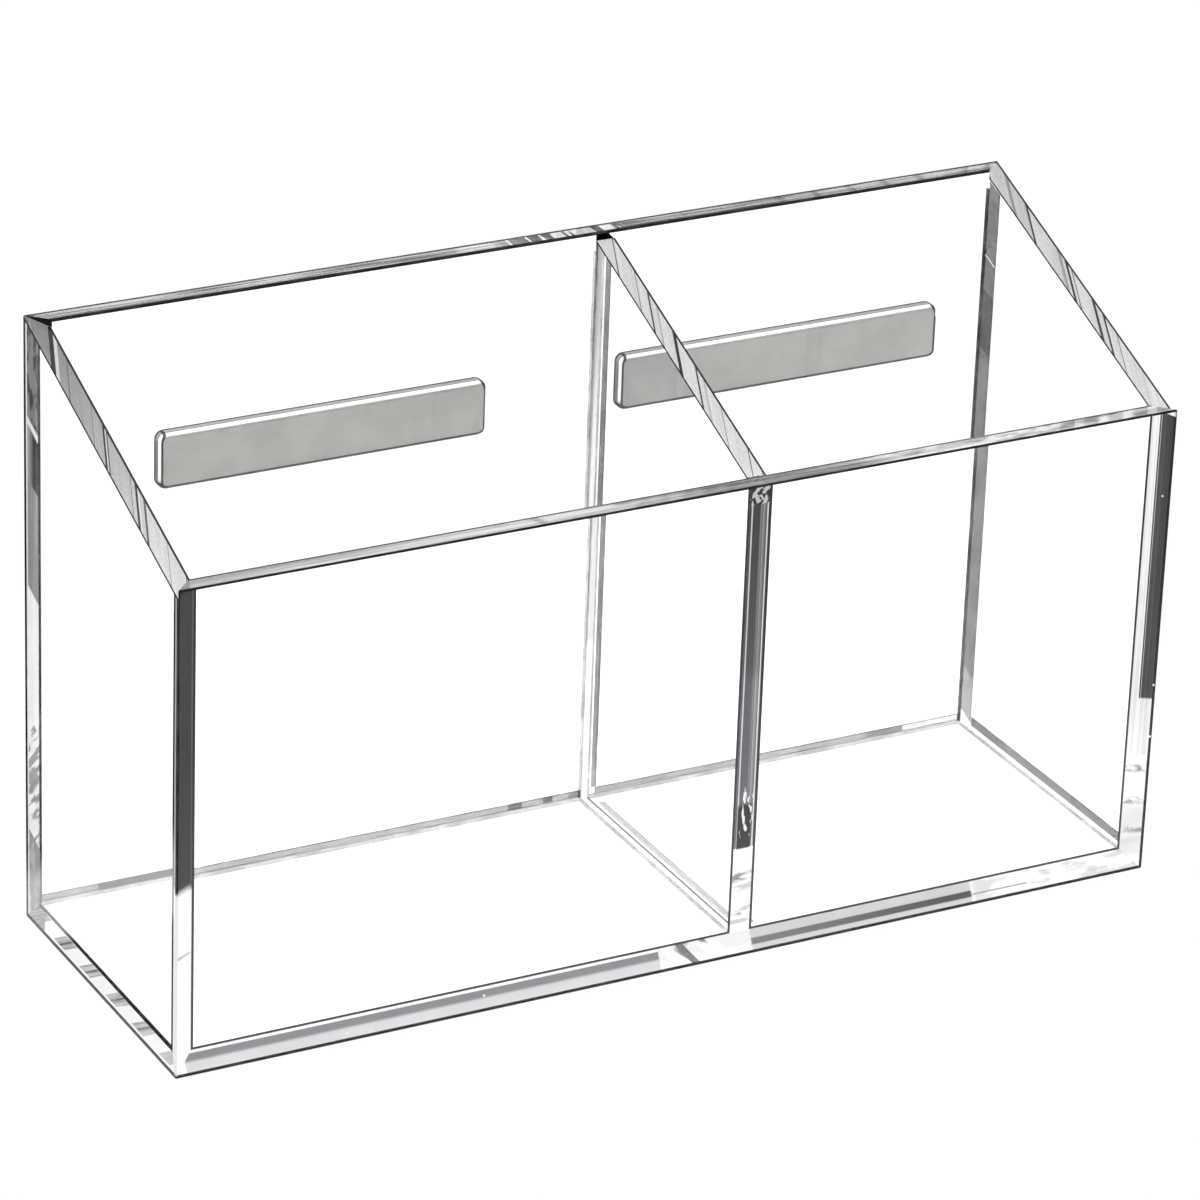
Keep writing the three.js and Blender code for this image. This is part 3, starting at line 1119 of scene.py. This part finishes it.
def divider_layers(x, y, z, spot):
    upper = between(z, BOIL_LOW, BOIL_LOW + 0.5 * MM)
    rise = between(z, BOIL_HIGH, front_height)
    fibres = streaked(spot, (3000, 0, 14), 0.3, 0.7)
    core = blend(rise, (0.11, 0.11, 0.125), (0.04, 0.04, 0.043))
    grey = blend(fibres, (0.09, 0.09, 0.095), (0.22, 0.22, 0.23))
    boil = times(
        window(z, BOIL_LOW, BOIL_LOW + 9 * MM, 0.4 * MM),
        window(x, divider_left + 0.5 * MM, divider_right - 0.7 * MM),
    )
    froth_zone = times(
        window(z, BOIL_LOW + 3 * MM, BOIL_HIGH, 1 * MM),
        window(x, divider_left + 0.7 * MM, divider_right - 0.4 * MM),
    )
    froth = times(froth_zone, streaked(spot, (1200, 0, 330), 0.56, 0.60))
    top = between(z, front_height - CRACKED_TOP, front_height - CRACKED_TOP + 0.5 * MM)
    cracks = streaked(spot, (1100, 0, 900), 0.47, 0.53)
    low = between(z, BOIL_LOW, BOIL_LOW - 0.5 * MM)
    smudges = times(low, streaked(spot, (90, 0, 420), 0.57, 0.66))
    wedges = either(*(window(z, at * MM, (at + 1.8) * MM, 0.6 * MM) for at in (14.4, 7.2)))
    wedges = times(wedges, streaked(spot, (350, 0, 900), 0.40, 0.68))

    def strip(first, last):
        return times(upper, window(x, divider_left + first * sheet, divider_left + last * sheet, 0.04 * MM))

    return [
        (upper, core, 0.97),
        (strip(0.56, 0.88), grey, 0.9),
        (strip(0.70, 0.74), 0.34, 0.9),
        (strip(0.10, 0.17), 0.60, 0.9),
        (strip(0.90, 0.96), 0.75, 0.9),
        (boil, 0.012, 0.98),
        (froth, 0.85, 0.95),
        (times(top, cracks), 0.02, 0.95),
        (times(top, inverse(cracks)), 0.55, 0.9),
        (low, 0.95, 0.9),
        (smudges, 0.55, 0.9),
        (wedges, 0.10, 0.9),
    ]


def divider_seat_layers(x, y, z, spot):
    """White at the foot of the divider's back edge and underside: partly cement, partly painted light."""
    return [(between(z, 38 * MM, 36 * MM), 0.97, 0.93)]


divider_joint = cemented("divider_joint", divider_layers, 0.03)
divider_seat = cemented("divider_seat", divider_seat_layers)

# %% [markdown]
# Down the left back corner the joint is painted from band to band, partly as cement and partly as
# painted shade and painted light: black and mottled at the top, then a narrow white gap, a shaded
# stretch, grey fibres, clear white, daubs, and a grey foot. A black line along the outer corner is
# painted shade.

# %% The joint of the left and the back sheet


def left_back_layers(x, y, z, spot):
    across = minus(x, left_out)
    slanted_z = plus(z, times(across, 1.1))
    mottle_mask = streaked(spot, (500, 500, 260), 0.42, 0.6)
    fibres = streaked(spot, (2200, 2200, 25), 0.4, 0.6)
    across_tone = between(across, 1.0 * MM, 3.3 * MM)
    leaning = point_of(across, 0.0, minus(z, across))
    daubs = streaked(leaning, (260, 0, 520), 0.42, 0.54)

    def band(low, high):
        return window(slanted_z, low * MM, high * MM, 0.15 * MM)

    return [
        (band(102, 130), blend(mottle_mask, 0.05, 0.24), 0.9),
        (band(100.5, 102), 0.85, 0.9),
        (band(90, 100.5), blend(across_tone, 0.42, 0.03), 0.9),
        (band(69, 90), blend(fibres, (0.28, 0.28, 0.285), (0.36, 0.36, 0.365)), 0.9),
        (band(42, 69), blend(fibres, 0.88, 1.0), 0.93),
        (band(16, 43), blend(daubs, 0.36, 0.97), 0.9),
        (band(-5, 20), blend(mottle_mask, 0.30, 0.45), 0.9),
        (window(across, 0.0, 1.2 * MM, 0.05 * MM), 0.85, 0.9),
        (between(across, 0.88 * MM, 0.83 * MM), 0.004, 0.98),
    ]


left_back_joint = cemented("left_back_joint", left_back_layers, 0.02)

# %% [markdown]
# Under the left side the joint is painted white, as painted light, with grey patches at even steps
# and fine streaks across them. A black line along the outer corner and another along the inner
# edge are painted shade.

# %% The joint under the left side
PATCH_STEP = 11.7 * MM
PATCH_START = 18.9 * MM


def left_foot_layers(x, y, z, spot):
    across = minus(x, left_out)
    along = plus(y, times(across, 1.74))
    inner_edge = minus(across, times(y, 0.0035))
    turns = calculate("DIVIDE", minus(along, PATCH_START), PATCH_STEP)
    phase = calculate("FRACT", plus(turns, 0.5))
    drawn = point_of(along, 0.0, across)
    cross_streaks = streaked(drawn, (1500, 0, 120), 0.40, 0.60)
    ragged = times(streaked(drawn, (1500, 0, 200), 0.3, 0.7), 0.06)
    inside = window(across, 1.35 * MM, 3.7 * MM)
    patch = times(window(plus(phase, ragged), 0.31, 0.75, 0.02), inside)
    worn = between(y, -38 * MM, -12 * MM)
    middle = times(window(phase, 0.46, 0.53, 0.02), inside, worn)
    patch_tone = blend(worn, 0.62, blend(cross_streaks, 0.38, 0.62))
    corner = between(minus(y, times(across, 0.66)), 22.2 * MM, 22.5 * MM)
    return [
        (between(across, 0.0, 0.1 * MM), 1.0, 0.97),
        (patch, patch_tone, 0.92),
        (middle, 0.12, 0.85),
        (corner, blend(cross_streaks, 0.30, 0.48), 0.92),
        (between(across, 0.95 * MM, 0.90 * MM), 0.004, 0.98),
        (between(inner_edge, 3.74 * MM, 3.78 * MM), 0.004, 0.98),
    ]


left_foot_joint = cemented("left_foot_joint", left_foot_layers, 0.02)
mitre_joint = cemented("mitre_joint")

# %% [markdown]
# Beads and films share one recipe: dried cement that lets light through, tinted from near black
# to pale grey. That tint is painted shade. They differ in their tones, and in how clear they are.

# %% Dried cement


def dried_cement(name, dark, light, transmission, ior):
    made, tree, shader = clear(name, ior=ior, transmission=transmission, roughness=0.1)
    marks = grouped(flecks, Place=place_on(tree), Bubbles=0.04)
    grain = noise_on(place_on(tree), 1500.0, 1.0)
    tone = between(plus(marks["Haze"], times(minus(grain, 0.5), 0.5)), 0.3, 0.7)
    feed(shader, Base_Color=blend(minus(tone, marks["Bubble"], clamp=True), dark, light))
    return made


BEAD_IOR = 1.05
FILM_IOR = 1.02
dark_bead = dried_cement("cement_painted_dark_shade", 0.0005, 0.004, 0.9, BEAD_IOR)
pale_bead = dried_cement("cement_painted_pale_shade", 0.34, 0.54, 0.95, BEAD_IOR)
grey_bead = dried_cement("cement_painted_grey_shade", 0.03, 0.10, 0.9, BEAD_IOR)
film_tones = {
    "pale": (0.50, 0.56), "soft": (0.36, 0.42), "light": (0.28, 0.34), "faint": (0.23, 0.28),
    "grey": (0.15, 0.21), "deep": (0.08, 0.13), "deepest": (0.05, 0.09),
}
film_finish = {
    name: dried_cement(f"{name}_film", *pair, 1.0, FILM_IOR) for name, pair in film_tones.items()
}
# Painted shade: the raised lip of each film is near black.
film_lip = dried_cement("film_lip", 0.004, 0.03, 1.0, FILM_IOR)

# %% [markdown]
# Nickel plate is a soft grey metal. It is tumbled, not polished, so its reflections are blurred,
# with faint clouds where the plating is a little thicker, fine orange peel and a few pits. Its
# edges are painted: white painted highlights on the top front round and low on the left end, and
# dark painted shade along the bottom, near the back and on both ends.

# %% Nickel plate
nickel, tree, shader = material("nickel_plate")
marks = grouped(mottle, Place=place_on(tree))
tone = minus(between(marks["Cloud"], 0.2, 0.8), marks["Pit"], clamp=True)
plate = blend(tone, (0.405, 0.40, 0.392), (0.525, 0.52, 0.51))
_, y, z = parts_of(place_on(tree))
magnet_foot, magnet_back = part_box("magnet_left")[0].z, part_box("magnet_left")[1].y
facing_x, facing_y, facing_z = parts_of(node(tree, "NewGeometry").outputs["Normal"])
# Painted shade: dark lines along the bottom, near the back and on both ends.
under_edge = either(
    between(facing_z, -0.04, -0.14), between(z, magnet_foot + 0.80 * MM, magnet_foot + 0.65 * MM),
)
far_edge = window(y, magnet_back - 1.2 * MM, magnet_back - 0.1 * MM, 0.05 * MM)
right_edge = between(facing_x, 0.12, 0.25)
left_edge = window(facing_x, -0.45, -0.12, 0.03)
# Painted highlight: a white, barely metallic streak low on the left end.
left_gleam = times(
    window(facing_x, -0.95, -0.52, 0.04), between(facing_y, -0.1, -0.2),
    between(z, magnet_foot + 1.0 * MM, magnet_foot + 2.5 * MM),
)
painted_shade_edges = either(under_edge, far_edge, right_edge, left_edge)
# Painted highlight: white along the top front round.
painted_highlight_top = times(
    between(facing_y, -0.99, -0.93), between(facing_y, -0.30, -0.45),
    between(facing_z, 0.1, 0.3),
)
plate = blend(either(painted_highlight_top, left_gleam), plate, (0.92, 0.92, 0.91))
rounded = between(calculate("ABSOLUTE", facing_y), 0.99, 0.93)
satin = rescaled(marks["Cloud"], 0.0, 1.0, 0.30, 0.38)
relief = minus(times(marks["Peel"], 0.5), marks["Pit"])
bump = node(tree, "Bump", {"Height": relief, "Strength": 0.4, "Distance": 0.00004})
feed(
    shader, Base_Color=blend(painted_shade_edges, plate, 0.05), Metallic=mixed(left_gleam, 0.65, 0.05),
    Roughness=mixed(rounded, satin, 0.12), Normal=bump.outputs[0],
)

# %% [markdown]
# The tape between magnet and sheet is a soft clear gel with a few trapped bubbles.

# %% Gel tape
gel, tree, shader = clear("clear_gel", ior=1.03, roughness=0.02)
marks = grouped(flecks, Place=place_on(tree), Bubbles=0.05)
feed(shader, Base_Color=blend(marks["Bubble"], (0.97, 0.97, 0.96), (0.75, 0.75, 0.74)))
print("materials", len(bpy.data.materials))

# %% [markdown]
# Last, each piece gets its materials and rides on the case, and a piece that stands for a solid of the
# imported model hides that solid.

# %% Dress the pieces


def dress(piece, materials, slot_name, *nodes):
    for finish in materials:
        piece.data.materials.append(finish)
    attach(piece, "root")
    if nodes:
        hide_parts(*nodes)


straight = (sheet_face, polished_rim, mitre_joint, eased_edge)
slanted = (sheet_face, sawn_rim, mitre_joint, eased_edge)
for piece, materials, solid in (
    (front_sheet, (*straight, left_front_joint), "front_panel"),
    (back_sheet, straight, "back_panel"),
    (bottom_sheet, (*straight, front_foot_joint), "bottom_panel"),
    (left_sheet, (*slanted, left_back_joint, left_edge_joint, left_foot_joint), "left_side_panel"),
    (right_sheet, (*slanted, right_front_joint), "right_side_panel"),
    (divider_sheet, (sheet_face, sawn_rim, divider_seat, eased_edge, divider_joint), "divider_panel"),
):
    dress(piece, materials, "clear_acrylic", solid)
for piece in beads:
    dress(piece, (dark_bead, pale_bead, grey_bead), "clear_adhesive")
for piece, finish in films:
    dress(piece, (film_lip, film_finish[finish]), "clear_adhesive")
for side, magnet, pad in zip(("left", "right"), magnets, pads):
    dress(magnet, (nickel,), "nickel_plate", f"magnet_{side}")
    dress(pad, (gel,), "clear_adhesive", f"magnet_adhesive_{side}")

# %% Sizes
low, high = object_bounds()
print("visual box mm", [round(v / MM, 2) for v in high - low])
